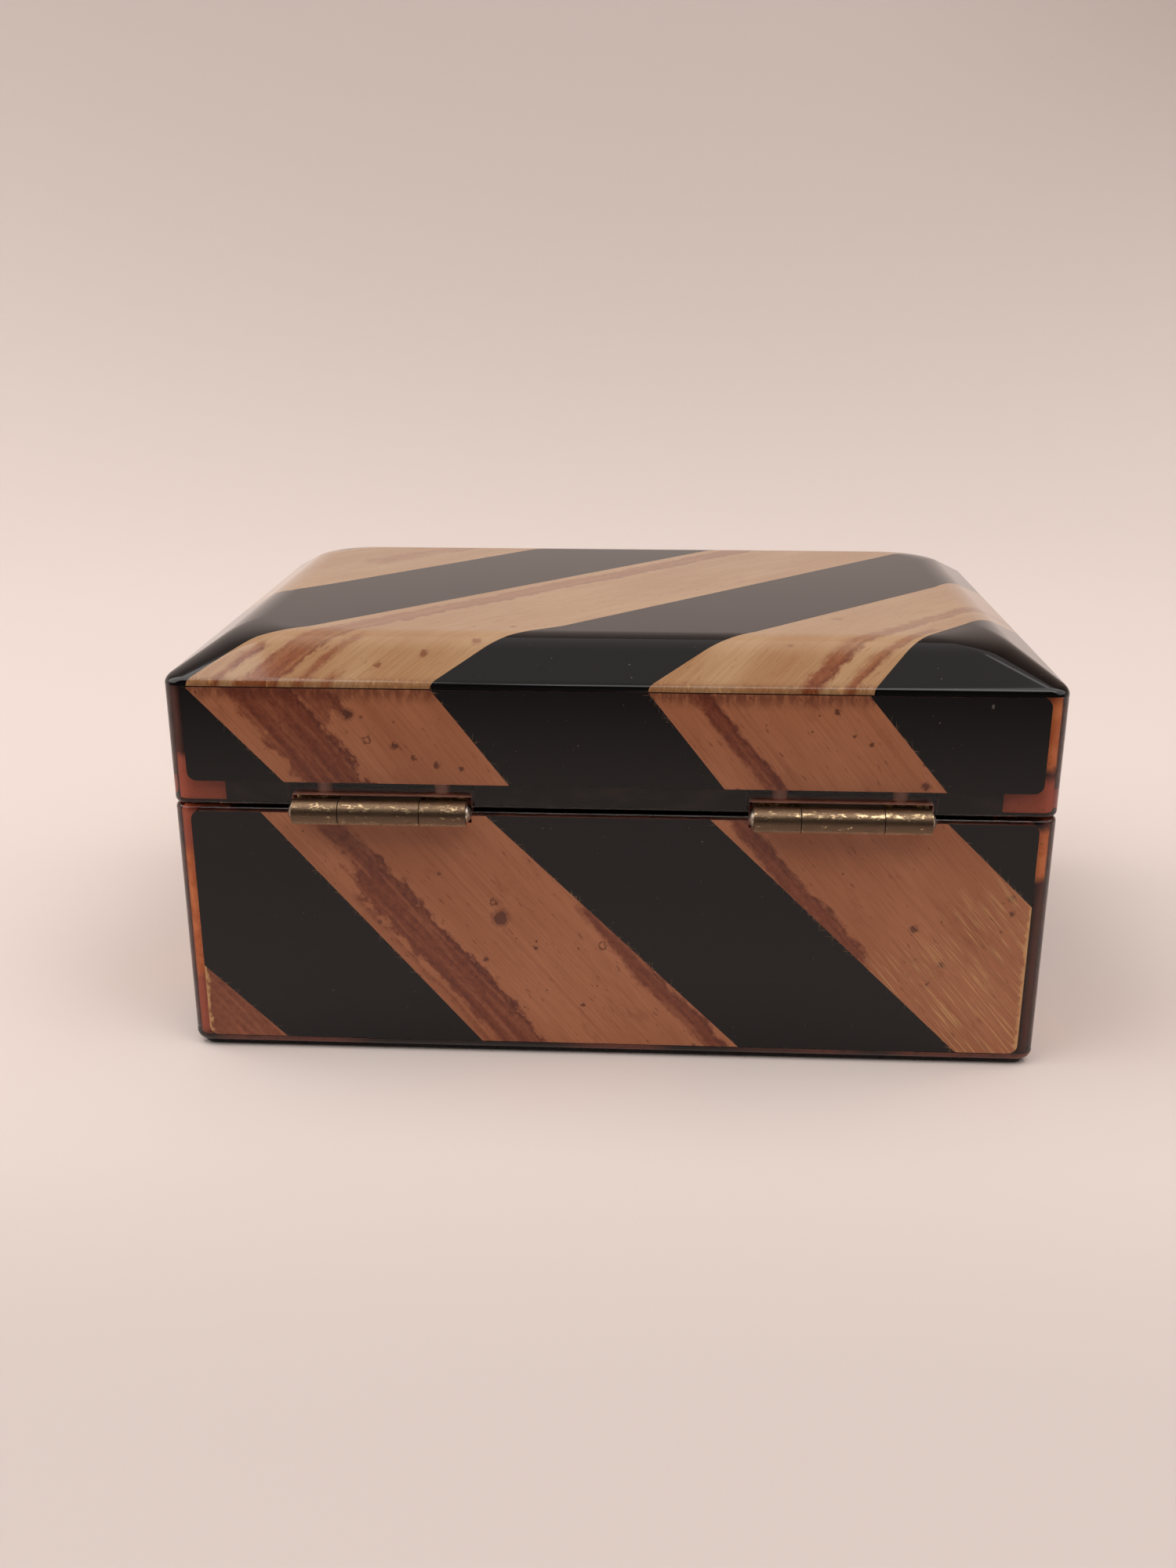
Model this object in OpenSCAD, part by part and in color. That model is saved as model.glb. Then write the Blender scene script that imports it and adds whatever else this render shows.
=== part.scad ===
// A hinged keepsake box: two cast resin shells over diagonal strips of pale bark and black sheet,
// lined in black, standing on a felt pad and joined by a pair of small brass butt hinges.
// Millimetres. +Z is up, -Y is the front (the side that opens), +Y is the hinge side.
// The origin is the middle of the felt's underside, which rests on the table.

/* [Body] */
// Width of the box, left to right
body_w = 152.4; // [140:0.1:175]
// Depth of the box, front face to hinge face
body_d = 105.3; // [95:0.1:120]
// Height of the resin base, from the felt to its rim
base_h = 46.1; // [38:0.1:60]
// Height of the lid's upright sides, from its rim to the crisp upper edge
lid_side_h = 22.2; // [18:0.1:30]
// Gap between the two rims when the box is shut
rim_gap = 0.3; // [0.2:0.05:0.5]
// Thickness of the side walls
wall_t = 7; // [6.5:0.1:8]
// Thickness of the base's floor
floor_t = 6; // [4:0.1:10]
// Thickness of the lid's flat top
lid_top_t = 6.4; // [5:0.1:9]
// Radius of the upright corners, seen from above
corner_r = 3.2; // [2:0.1:6]

/* [Lid dome] */
// How far the flat top stands above the crisp edge
dome_rise = 6.3; // [4:0.1:9]
// Width of the sloping border, as if it met the flat top at a crease
dome_run = 10; // [7:0.1:14]
// Radius that blends the slope into the flat top
dome_r = 12; // [5:0.1:16]
// Radius of the crisp edge at the top of the sides
edge_r = 1.8; // [1.7:0.1:3]

/* [Rims and foot] */
// Rounding on the outside of both rims
rim_edge_r = 0.8; // [0.3:0.1:0.9]
// Rounding along the bottom of the base
foot_edge_r = 1.6; // [1.2:0.1:4]

/* [Layers] */
// Thickness of the clear outer coat
coat_t = 1; // [0.9:0.05:1.3]
// Thickness of the bark and black sheets under the coat
sheet_t = 0.6; // [0.4:0.05:0.7]
// Thickness of the black lining sheets
lining_t = 0.6; // [0.4:0.05:1]
// Thickness of the felt pad
felt_t = 0.9; // [0.6:0.05:2]
// How far the felt stops short of the box's sides
felt_margin = 1.4; // [1:0.1:4]

/* [Side sheets] */
// Clear border between a side sheet and the roundings at the box's corners and foot
sheet_round_gap = 0.1; // [0.1:0.05:2]
// Clear border between the lid's side sheets and its rim
lid_rim_margin = 4.4; // [3:0.1:7]
// Clear border between the base's side sheets and its rim
base_rim_margin = 0.9; // [0.5:0.1:3]
// How far below the lid's crisp edge the side sheets end and the top sheet begins
edge_seam_drop = 0.9; // [0.6:0.1:1.6]
// Gap between the top sheet and the side sheets at that seam
edge_seam_gap = 0.2; // [0.1:0.05:0.5]
// Corner radius of the side sheets
sheet_corner_r = 1.6; // [0.5:0.1:3]

/* [Hollow] */
// Corner radius of the hollow, seen from above
hollow_corner_r = 1.2; // [0.8:0.1:4]
// How far the lining stops short of the rim
lining_rim_margin = 0.3; // [0.2:0.1:2]
// Gap between neighbouring lining sheets
lining_gap = 0.15; // [0.1:0.05:0.5]

/* [Hinges] */
// Distance from the box's side to the middle of the hinge nearest to it
hinge_inset = 36.9; // [24:0.1:44]
// Length of a hinge over its knuckles
hinge_len = 29.8; // [24:0.1:34]
// Length of the middle knuckle, which belongs to the lid's leaf
mid_knuckle_len = 13.8; // [8:0.1:16]
// End play between neighbouring knuckles
knuckle_gap = 0.15; // [0.1:0.01:0.3]
// Outer diameter of the barrel
barrel_d = 4.5; // [4.2:0.1:5]
// Distance from the hinge face out to the pin's axis
axis_out = 2; // [1.9:0.1:3]
// Diameter of the hinge pin
pin_d = 1.9; // [1.4:0.05:2.2]
// Diameter of the domed pin heads
pin_head_d = 3.1; // [2.6:0.1:3.8]
// How far a domed head stands out from the barrel's end
pin_head_out = 0.85; // [0.5:0.05:1.2]
// Radial running clearance of the pin in the knuckles
pin_clearance = 0.05; // [0.02:0.01:0.08]
// Thickness of a hinge leaf
leaf_t = 1; // [0.8:0.05:1.1]
// How far a leaf reaches into the rim from the hinge face
leaf_reach = 6; // [5.4:0.1:6.2]
// Distance from the barrel at which a leaf starts beside the other leaf's knuckles
leaf_relief = 0.9; // [0.5:0.1:1.2]
// Clearance between a leaf and its mortise
mortise_clearance = 0.05; // [0.02:0.01:0.1]
// Free length of the mortise past each end of the leaf
mortise_end_gap = 0.6; // [0.4:0.05:0.9]

/* [Screws] */
// Distance between the two screws of a leaf
screw_pitch = 20.5; // [14:0.1:24]
// Distance from the hinge face to the screws' axes
screw_in = 3.7; // [3.4:0.1:4]
// Diameter of a screw's shank
screw_d = 1.8; // [1.4:0.1:2.2]
// Diameter of the countersunk head
screw_head_d = 3.2; // [2.6:0.1:3.6]
// Depth of the countersunk head
screw_head_h = 0.8; // [0.6:0.05:0.9]
// Length of a screw from the face of its head to its tip
screw_len = 8; // [6:0.1:10]
// Length of the pointed tip
screw_tip_len = 1.6; // [1:0.1:2.5]
// Width of the driver slot
slot_w = 0.45; // [0.3:0.05:0.6]
// Depth of the driver slot
slot_depth = 0.4; // [0.3:0.05:0.5]
// Clearance round a screw
screw_clearance = 0.05; // [0.02:0.01:0.08]

/* [Hidden] */
$fn = 48;

// Steps in each rounding of the outer shapes
round_steps = 6;
// How far a cut runs past the surface it opens
overrun = 1;
// Radius left on a rounding whose layer is thicker than the rounding
least_r = 0.1;

// Levels, from the table up
base_foot_z = felt_t;
base_rim_z = felt_t + base_h;
axis_z = base_rim_z + rim_gap / 2;
lid_rim_z = base_rim_z + rim_gap;
lid_edge_z = lid_rim_z + lid_side_h;
lid_top_z = lid_edge_z + dome_rise;
edge_seam_z = lid_edge_z - edge_seam_drop;
floor_z = base_foot_z + floor_t;
ceiling_z = lid_top_z - lid_top_t;

// Slope of the lid's border
dome_angle = atan(dome_rise / dome_run);

// Hinge sizes that follow from the others
hinge_x = body_w / 2 - hinge_inset;
barrel_r = barrel_d / 2;
axis_y = body_d / 2 + axis_out;
side_knuckle_len = (hinge_len - mid_knuckle_len) / 2 - knuckle_gap;
mortise_h = barrel_r + mortise_clearance;
screw_y = body_d / 2 - screw_in;

// The hollow inside both shells
hollow_w = body_w - 2 * wall_t;
hollow_d = body_d - 2 * wall_t;

// The four upright faces, anticlockwise from the front as seen from above
FACES = ["front", "right", "rear", "left"];

// Bark strips on each upright face, as seen from outside: the left and right ends of a strip's top
// edge, then those of its bottom edge, each as a share of the face's width from its middle.
base_strip_shares = [
    [[-0.72, -0.45, -0.42, -0.15], [-0.19, 0.07, 0.10, 0.37], [0.33, 0.60, 0.62, 0.90]],
    [[-0.48, -0.09, -0.90, -0.51], [0.30, 0.68, -0.13, 0.25]],
    [[-0.95, -0.678, -0.65, -0.385], [-0.397, -0.140, -0.150, 0.153], [0.1135, 0.377, 0.407, 0.670]],
    [[-0.21, 0.17, -0.64, -0.26], [0.56, 0.94, 0.13, 0.51]]
];
lid_strip_shares = [
    [[-0.485, -0.238, -0.400, -0.153], [0.018, 0.280, 0.103, 0.365]],
    [[-0.385, 0.028, -0.510, -0.097], [0.49, 0.87, 0.365, 0.745]],
    [[-0.472, -0.198, -0.368, -0.113], [0.042, 0.282, 0.128, 0.373]],
    [[-0.115, 0.220, -0.240, 0.095], [0.49, 0.87, 0.365, 0.745]]
];

// Outlines of the bark strips on the lid's top as seen from above. Each corner is a share of the
// box's width and depth from its middle. Where a strip runs off the box it simply runs past 0.5.
top_strip_shares = [
    // The long strip from the hinge side's right corner to the front's left corner
    [[0.471, 0.5], [0.404, 0.408], [0.352, 0.364], [0.203, 0.134], [-0.096, -0.336], [-0.116, -0.367],
     [-0.236, -0.5], [-0.55, -0.55], [-0.396, -0.367], [-0.339, -0.279], [0.060, 0.341],
     [0.117, 0.398], [0.199, 0.5]],
    // The strip that leaves over the left border
    [[-0.041, 0.5], [-0.124, 0.408], [-0.161, 0.367], [-0.407, -0.015], [-0.55, -0.333],
     [-0.55, 0.018], [-0.407, 0.291], [-0.358, 0.372], [-0.286, 0.5]],
    // The strip that leaves over the right border
    [[0.55, -0.005], [0.420, 0.073], [0.377, 0.013], [0.136, -0.367], [0.016, -0.5], [0.282, -0.5],
     [0.396, -0.367], [0.407, -0.351], [0.55, -0.39]]
];

bark = [0.70, 0.50, 0.36];
black = [0.09, 0.08, 0.08];
amber = [0.45, 0.20, 0.08];
clear_amber = [0.80, 0.50, 0.25, 0.3];
brass = [0.62, 0.50, 0.30];
felt = [0.05, 0.05, 0.05];

// Points along an arc of a circle, from angle a0 to angle a1
function arc(centre, r, a0, a1) = [
    for (i = [0 : round_steps])
        let (a = a0 + (a1 - a0) * i / round_steps)
            centre + r * [cos(a), sin(a)]
];

// A face's place in the list of faces
function face_index(face) = search([face], FACES)[0];

// The width of an upright face
function face_w(face) = face_index(face) % 2 == 0 ? body_w : body_d;

// The distance from the middle of the box to an upright face
function face_reach(face) = face_index(face) % 2 == 0 ? body_d / 2 : body_w / 2;

// The radius left on a rounding once a layer of thickness inset is taken off it
function left_of(r, inset) = max(r - inset, least_r);

// One side of the lid's outline, from its rim up to the edge of the flat top, at half width "half"
// and under a layer of thickness "inset". Only the bare outside has a rounded rim; a deeper layer
// can run "past" the rim, for use as a cut.
function lid_side(half, inset, past) =
    let (
        side = half - inset,
        crease = tan((90 - dome_angle) / 2),
        shoulder = tan(dome_angle / 2),
        re = left_of(edge_r, inset),
        rd = left_of(dome_r, inset)
    )
    concat(
        inset > 0 ? [[side, lid_rim_z - past]]
                  : arc([side - rim_edge_r, lid_rim_z + rim_edge_r], rim_edge_r, -90, 0),
        arc([side - re, lid_edge_z - (inset + re) * crease], re, 0, 90 - dome_angle),
        arc([half - dome_run - (inset + rd) * shoulder, lid_top_z - inset - rd], rd, 90 - dome_angle, 90)
    );

// One side of the base's outline, from the edge of its flat underside up to its rim or past it
function base_side(half, inset, past) =
    let (side = half - inset, rf = left_of(foot_edge_r, inset))
    concat(
        arc([side - rf, base_foot_z + inset + rf], rf, -90, 0),
        inset > 0 ? [[side, base_rim_z + past]]
                  : arc([side - rim_edge_r, base_rim_z - rim_edge_r], rim_edge_r, 0, 90)
    );

// A one-sided outline joined to its mirror image
function both_sides(side) = concat(side, [for (i = [len(side) - 1 : -1 : 0]) [-side[i].x, side[i].y]]);

// An upright block with rounded corners, seen from above
module rounded_block(w, d, r, z0, z1) {
    translate([0, 0, z0])
        linear_extrude(z1 - z0) {
            square([w - 2 * r, d], center = true);
            square([w, d - 2 * r], center = true);
            for (sx = [-1, 1], sy = [-1, 1])
                translate([sx * (w / 2 - r), sy * (d / 2 - r)])
                    circle(r);
        }
}

// The solid whose outline is "wide" from the front and "deep" from the side, with round corners
module shaped_block(wide, deep, inset) {
    intersection() {
        rotate([90, 0, 0])
            linear_extrude(body_d + 2 * overrun, center = true)
                polygon(both_sides(wide));
        rotate([90, 0, 90])
            linear_extrude(body_w + 2 * overrun, center = true)
                polygon(both_sides(deep));
        rounded_block(body_w - 2 * inset, body_d - 2 * inset, left_of(corner_r, inset),
                      -overrun, lid_top_z + overrun);
    }
}

// The lid's outer shape under a layer of the given thickness, filled solid
module lid_block(inset, past = 0) {
    shaped_block(lid_side(body_w / 2, inset, past), lid_side(body_d / 2, inset, past), inset);
}

// The base's outer shape under a layer of the given thickness, filled solid
module base_block(inset, past = 0) {
    shaped_block(base_side(body_w / 2, inset, past), base_side(body_d / 2, inset, past), inset);
}

// Turns a drawing, seen upright from outside, onto one of the four faces at a depth below it
module on_face(face, depth, thickness) {
    rotate(90 * face_index(face))
        translate([0, depth + thickness - face_reach(face), 0])
            rotate([90, 0, 0])
                linear_extrude(thickness)
                    children();
}

// The outline of a side sheet between two levels
module sheet_outline(face, z0, z1) {
    w = face_w(face) - 2 * (corner_r + sheet_round_gap);
    h = z1 - z0;
    translate([0, (z0 + z1) / 2]) {
        square([w - 2 * sheet_corner_r, h], center = true);
        square([w, h - 2 * sheet_corner_r], center = true);
        for (sx = [-1, 1], sz = [-1, 1])
            translate([sx * (w / 2 - sheet_corner_r), sz * (h / 2 - sheet_corner_r)])
                circle(sheet_corner_r);
    }
}

// The slanting bark strips of one face between two levels, and a little past both
module strip_outlines(face, shares, z0, z1) {
    w = face_w(face);
    more = overrun / (z1 - z0);
    for (s = shares[face_index(face)]) {
        lean = [s[0] - s[2], s[1] - s[3]] * more;
        polygon([
            [(s[0] + lean[0]) * w, z1 + overrun], [(s[1] + lean[1]) * w, z1 + overrun],
            [(s[3] - lean[1]) * w, z0 - overrun], [(s[2] - lean[0]) * w, z0 - overrun]
        ]);
    }
}

// Levels between which the side sheets of the base and of the lid lie
base_sheet_z = [base_foot_z + foot_edge_r + sheet_round_gap, base_rim_z - base_rim_margin];
lid_sheet_z = [lid_rim_z + lid_rim_margin, edge_seam_z - edge_seam_gap];

// The pocket that a side sheet fills in the inner casting, cut from outside it
module side_pocket(face, z) {
    on_face(face, coat_t - overrun, sheet_t + overrun)
        sheet_outline(face, z[0], z[1]);
}

module side_bark(face, shares, z) {
    on_face(face, coat_t, sheet_t)
        intersection() {
            sheet_outline(face, z[0], z[1]);
            strip_outlines(face, shares, z[0], z[1]);
        }
}

module side_black(face, shares, z) {
    on_face(face, coat_t, sheet_t)
        difference() {
            sheet_outline(face, z[0], z[1]);
            strip_outlines(face, shares, z[0], z[1]);
        }
}

// All the room above the seam at the lid's edge
module above_seam() {
    translate([-body_w, -body_d, edge_seam_z])
        cube([2 * body_w, 2 * body_d, lid_top_z]);
}

// The sheet bent over the lid's top and its sloping border
module top_sheet() {
    intersection() {
        above_seam();
        difference() {
            lid_block(coat_t);
            lid_block(coat_t + sheet_t);
        }
    }
}

// The room that the top sheet takes off the inner casting, and all that is above it
module top_pocket() {
    difference() {
        above_seam();
        lid_block(coat_t + sheet_t);
    }
}

// Upright prisms over the bark strips of the lid's top
module top_strips() {
    translate([0, 0, edge_seam_z - overrun])
        linear_extrude(lid_top_z - edge_seam_z + 2 * overrun)
            for (strip = top_strip_shares)
                polygon([for (p = strip) [p.x * body_w, p.y * body_d]]);
}

// The room that a hinge needs in one rim: up = 1 cuts the lid, up = -1 cuts the base
module mortise(x, up) {
    length = hinge_len + 2 * mortise_end_gap;
    reach = leaf_reach + mortise_clearance;
    height = mortise_h + rim_gap;
    translate([x - length / 2, body_d / 2 - reach, up > 0 ? axis_z - rim_gap : axis_z - mortise_h])
        cube([length, reach + overrun, height]);
}

// Places its children at both screws of a leaf, pointing away from the parting line
module at_screws(x, up) {
    for (side = [-1, 1])
        translate([x + side * screw_pitch / 2, screw_y, axis_z + up * (barrel_r - leaf_t)])
            mirror([0, 0, up > 0 ? 0 : 1])
                children();
}

// A countersunk screw, or the hole for it when "grow" is its clearance
module screw_body(grow) {
    head_r = screw_head_d / 2 + grow;
    shank_r = screw_d / 2 + grow;
    cylinder(screw_head_h, head_r, shank_r);
    cylinder(screw_len - screw_tip_len + grow, shank_r, shank_r);
    translate([0, 0, screw_len - screw_tip_len + grow])
        cylinder(screw_tip_len, shank_r, shank_r / 4);
}

// Both hinges' mortises and screw holes in one rim
module hinge_cuts(up) {
    for (x = [-hinge_x, hinge_x]) {
        mortise(x, up);
        at_screws(x, up)
            screw_body(screw_clearance);
    }
}

// The hollow of the base or of the lid between two levels
module hollow(z0, z1) {
    rounded_block(hollow_w, hollow_d, hollow_corner_r, z0, z1);
}

module base_core() {
    color(amber)
        difference() {
            base_block(coat_t);
            hollow(floor_z, base_rim_z + overrun);
            for (face = FACES)
                side_pocket(face, base_sheet_z);
            hinge_cuts(-1);
        }
}

module base_coat() {
    color(clear_amber)
        difference() {
            base_block(0);
            base_block(coat_t, overrun);
            hinge_cuts(-1);
        }
}

module lid_core() {
    color(amber)
        difference() {
            lid_block(coat_t);
            hollow(lid_rim_z - overrun, ceiling_z);
            for (face = FACES)
                side_pocket(face, lid_sheet_z);
            top_pocket();
            hinge_cuts(1);
        }
}

module lid_coat() {
    color(clear_amber)
        difference() {
            lid_block(0);
            lid_block(coat_t, overrun);
            hinge_cuts(1);
        }
}

module felt_pad() {
    color(felt)
        rounded_block(body_w - 2 * felt_margin, body_d - 2 * felt_margin, left_of(corner_r, felt_margin),
                      0, felt_t);
}

// The base's side sheets lie so near its rim that the hinges' mortises bite into the rear ones
module base_bark(face) {
    color(bark)
        difference() {
            side_bark(face, base_strip_shares, base_sheet_z);
            hinge_cuts(-1);
        }
}

module base_black(face) {
    color(black)
        difference() {
            side_black(face, base_strip_shares, base_sheet_z);
            hinge_cuts(-1);
        }
}

module lid_bark(face) {
    color(bark)
        side_bark(face, lid_strip_shares, lid_sheet_z);
}

module lid_black(face) {
    color(black)
        side_black(face, lid_strip_shares, lid_sheet_z);
}

module lid_top_bark() {
    color(bark)
        intersection() {
            top_sheet();
            top_strips();
        }
}

module lid_top_black() {
    color(black)
        difference() {
            top_sheet();
            top_strips();
        }
}

// A lining sheet on one wall of the hollow, between two levels
module wall_lining(face, z0, z1) {
    w = face_w(face) - 2 * wall_t - 2 * max(hollow_corner_r, lining_t + lining_gap);
    color(black)
        on_face(face, wall_t, lining_t)
            translate([-w / 2, z0])
                square([w, z1 - z0]);
}

module base_lining(face) {
    wall_lining(face, floor_z + lining_t + lining_gap, base_rim_z - lining_rim_margin);
}

module lid_lining(face) {
    wall_lining(face, lid_rim_z + lining_rim_margin, ceiling_z - lining_t - lining_gap);
}

module base_floor_lining() {
    color(black)
        hollow(floor_z, floor_z + lining_t);
}

module lid_ceiling_lining() {
    color(black)
        hollow(ceiling_z - lining_t, ceiling_z);
}

// A length of the barrel, centred "at" along the hinge, as a solid rod
module knuckle_rod(x, at, length) {
    translate([x + at, axis_y, axis_z])
        rotate([0, 90, 0])
            cylinder(length, barrel_r, barrel_r, center = true);
}

// The tongue that carries a knuckle to its leaf, flush with the side of the barrel
module knuckle_tongue(x, at, length, up) {
    tongue = axis_out + leaf_relief + barrel_r;
    translate([x + at - length / 2, axis_y - tongue, up > 0 ? axis_z + barrel_r - leaf_t : axis_z - barrel_r])
        cube([length, tongue, leaf_t]);
}

// The flat of a leaf, set back from the barrel so that the other leaf's knuckles clear it
module leaf_flat(x, up) {
    start = axis_y - barrel_r - leaf_relief;
    end = body_d / 2 - leaf_reach;
    translate([x - hinge_len / 2, end, up > 0 ? axis_z + barrel_r - leaf_t : axis_z - barrel_r])
        cube([hinge_len, start - end, leaf_t]);
}

// The bore for the pin through the whole hinge
module pin_bore(x) {
    bore_r = pin_d / 2 + pin_clearance;
    translate([x, axis_y, axis_z])
        rotate([0, 90, 0])
            cylinder(hinge_len + 2 * overrun, bore_r, bore_r, center = true);
}

module lid_leaf(x) {
    color(brass)
        difference() {
            union() {
                leaf_flat(x, 1);
                knuckle_tongue(x, 0, mid_knuckle_len, 1);
                knuckle_rod(x, 0, mid_knuckle_len);
            }
            pin_bore(x);
            at_screws(x, 1)
                screw_body(screw_clearance);
        }
}

module base_leaf(x) {
    side_at = (hinge_len - side_knuckle_len) / 2;
    color(brass)
        difference() {
            union() {
                leaf_flat(x, -1);
                for (side = [-1, 1]) {
                    knuckle_tongue(x, side * side_at, side_knuckle_len, -1);
                    knuckle_rod(x, side * side_at, side_knuckle_len);
                }
            }
            pin_bore(x);
            at_screws(x, -1)
                screw_body(screw_clearance);
        }
}

// A domed pin head: the cap of a sphere that stands pin_head_out high
module pin_head() {
    head_r = pin_head_d / 2;
    ball_r = (head_r * head_r + pin_head_out * pin_head_out) / (2 * pin_head_out);
    intersection() {
        translate([0, 0, pin_head_out - ball_r])
            sphere(ball_r);
        cylinder(2 * pin_head_out, ball_r, ball_r);
    }
}

module hinge_pin(x) {
    shank = hinge_len + 2 * pin_clearance;
    color(brass)
        translate([x, axis_y, axis_z])
            rotate([0, 90, 0]) {
                cylinder(shank, pin_d / 2, pin_d / 2, center = true);
                for (side = [0, 1])
                    mirror([0, 0, side])
                        translate([0, 0, shank / 2])
                            pin_head();
            }
}

// The pair of screws of one leaf, with their driver slots
module leaf_screws(x, up) {
    color(brass)
        at_screws(x, up)
            difference() {
                screw_body(0);
                translate([-screw_head_d, -slot_w / 2, -overrun])
                    cube([2 * screw_head_d, slot_w, slot_depth + overrun]);
            }
}

base_core();
base_coat();
lid_core();
lid_coat();
felt_pad();
base_bark("front");  // base_front_bark
base_bark("right");  // base_right_bark
base_bark("rear");  // base_rear_bark
base_bark("left");  // base_left_bark
base_black("front");  // base_front_black
base_black("right");  // base_right_black
base_black("rear");  // base_rear_black
base_black("left");  // base_left_black
lid_bark("front");  // lid_front_bark
lid_bark("right");  // lid_right_bark
lid_bark("rear");  // lid_rear_bark
lid_bark("left");  // lid_left_bark
lid_black("front");  // lid_front_black
lid_black("right");  // lid_right_black
lid_black("rear");  // lid_rear_black
lid_black("left");  // lid_left_black
lid_top_bark();
lid_top_black();
base_floor_lining();
base_lining("front");  // base_front_lining
base_lining("right");  // base_right_lining
base_lining("rear");  // base_rear_lining
base_lining("left");  // base_left_lining
lid_ceiling_lining();
lid_lining("front");  // lid_front_lining
lid_lining("right");  // lid_right_lining
lid_lining("rear");  // lid_rear_lining
lid_lining("left");  // lid_left_lining
base_leaf(-hinge_x);  // left_hinge_base_leaf
lid_leaf(-hinge_x);  // left_hinge_lid_leaf
hinge_pin(-hinge_x);  // left_hinge_pin
leaf_screws(-hinge_x, -1);  // left_hinge_base_screws
leaf_screws(-hinge_x, 1);  // left_hinge_lid_screws
base_leaf(hinge_x);  // right_hinge_base_leaf
lid_leaf(hinge_x);  // right_hinge_lid_leaf
hinge_pin(hinge_x);  // right_hinge_pin
leaf_screws(hinge_x, -1);  // right_hinge_base_screws
leaf_screws(hinge_x, 1);  // right_hinge_lid_screws
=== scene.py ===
import math
from random import Random

import bmesh
import bpy
from mathutils import Matrix, Vector


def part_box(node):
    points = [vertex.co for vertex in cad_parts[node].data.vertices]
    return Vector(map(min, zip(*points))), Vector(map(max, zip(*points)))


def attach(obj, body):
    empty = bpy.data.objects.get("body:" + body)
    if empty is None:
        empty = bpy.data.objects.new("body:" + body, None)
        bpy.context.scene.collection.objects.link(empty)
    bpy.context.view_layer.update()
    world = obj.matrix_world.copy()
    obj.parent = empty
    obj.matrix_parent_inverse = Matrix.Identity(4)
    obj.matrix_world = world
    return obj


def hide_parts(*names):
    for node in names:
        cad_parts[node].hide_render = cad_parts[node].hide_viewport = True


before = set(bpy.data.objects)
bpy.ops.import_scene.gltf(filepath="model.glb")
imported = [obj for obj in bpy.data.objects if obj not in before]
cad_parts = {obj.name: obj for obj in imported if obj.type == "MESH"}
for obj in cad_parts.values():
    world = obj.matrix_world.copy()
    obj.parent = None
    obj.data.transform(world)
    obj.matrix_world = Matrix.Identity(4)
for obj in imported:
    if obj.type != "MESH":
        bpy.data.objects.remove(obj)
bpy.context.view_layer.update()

MM = 0.001
# The box's sides, each a quarter turn on from the one before
SIDES = ("front", "right", "rear", "left")
# A stretch in millimetres that lies past the box, for a mark that a face doesn't have
NOWHERE = (900, 901)


# Sizes read from the frame

base_low, base_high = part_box("base_coat")
lid_low, lid_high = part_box("lid_coat")
half_w = lid_high.x
half_d = lid_high.y
lining_low, lining_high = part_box("base_floor_lining")
ceiling_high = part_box("lid_ceiling_lining")[1]
seam_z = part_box("lid_top_bark")[0].z
lid_sheet_low, lid_sheet_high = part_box("lid_rear_bark")
felt_low, felt_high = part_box("felt_pad")
pin_low, pin_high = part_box("left_hinge_pin")
axis_z = (pin_low.z + pin_high.z) / 2

# Sizes of the castings' outer shape, as on the CAD model, and the softer corners of the lid's dome
corner_r = 3.2 * MM
hollow_corner_r = 1.2 * MM
foot_edge_r = 1.6 * MM
rim_edge_r = 0.8 * MM
edge_r = 1.8 * MM
dome_rise = 6.3 * MM
dome_run = 10 * MM
dome_r = 12 * MM
hip_r = 11 * MM
coat_t = 1 * MM
sheet_t = 0.6 * MM
sheet_side_gap = corner_r + 0.1 * MM
# How far the resin reaches into a lining sheet or the felt, so that they touch with no air between
bond = 0.05 * MM
# Radius of the loose fibres. They lie on the box's faces, the coated sheets just below them, and the
# bare resin round the sheets a little lower again
fibre_r = 0.02 * MM
face_depth = 2 * fibre_r
resin_depth = 3 * fibre_r
# Width of the milky amber in the corners, from the box's sides
amber_w = 9.9 * MM
# How far a shape that cuts reaches past what it cuts
overrun = 5 * MM

edge_z = lid_high.z - dome_rise
dome_angle = math.atan(dome_rise / dome_run)


# Building meshes

def link(data, name):
    """A new object in the scene that holds the data."""
    obj = bpy.data.objects.new(name, data)
    bpy.context.scene.collection.objects.link(obj)
    return obj


def mesh_object(name, points, faces):
    """A new object from a list of points and a list of faces."""
    mesh = bpy.data.meshes.new(name)
    mesh.from_pydata(points, [], faces)
    shape = bmesh.new()
    shape.from_mesh(mesh)
    bmesh.ops.recalc_face_normals(shape, faces=shape.faces)
    shape.to_mesh(mesh)
    shape.free()
    return link(mesh, name)


def ring(reach_x, reach_y, radius, z, steps=16):
    """A level rectangle with round corners, anticlockwise from +X."""
    points = []
    for corner in range(4):
        sx = 1 if corner in (0, 3) else -1
        sy = 1 if corner in (0, 1) else -1
        for i in range(steps + 1):
            a = math.pi / 2 * (corner + i / steps)
            x = sx * (reach_x - radius) + radius * math.cos(a)
            y = sy * (reach_y - radius) + radius * math.sin(a)
            points.append((x, y, z))
    return points


def loft(name, rings):
    """A closed skin over a row of rings, with a flat face over the first and the last."""
    count = len(rings[0])
    points = [p for r in rings for p in r]
    faces = [list(range(count))[::-1]]
    for i in range(len(rings) - 1):
        for j in range(count):
            k = (j + 1) % count
            a = i * count
            b = a + count
            faces.append([a + j, a + k, b + k, b + j])
    faces.append([(len(rings) - 1) * count + j for j in range(count)])
    return mesh_object(name, points, faces)


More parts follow.
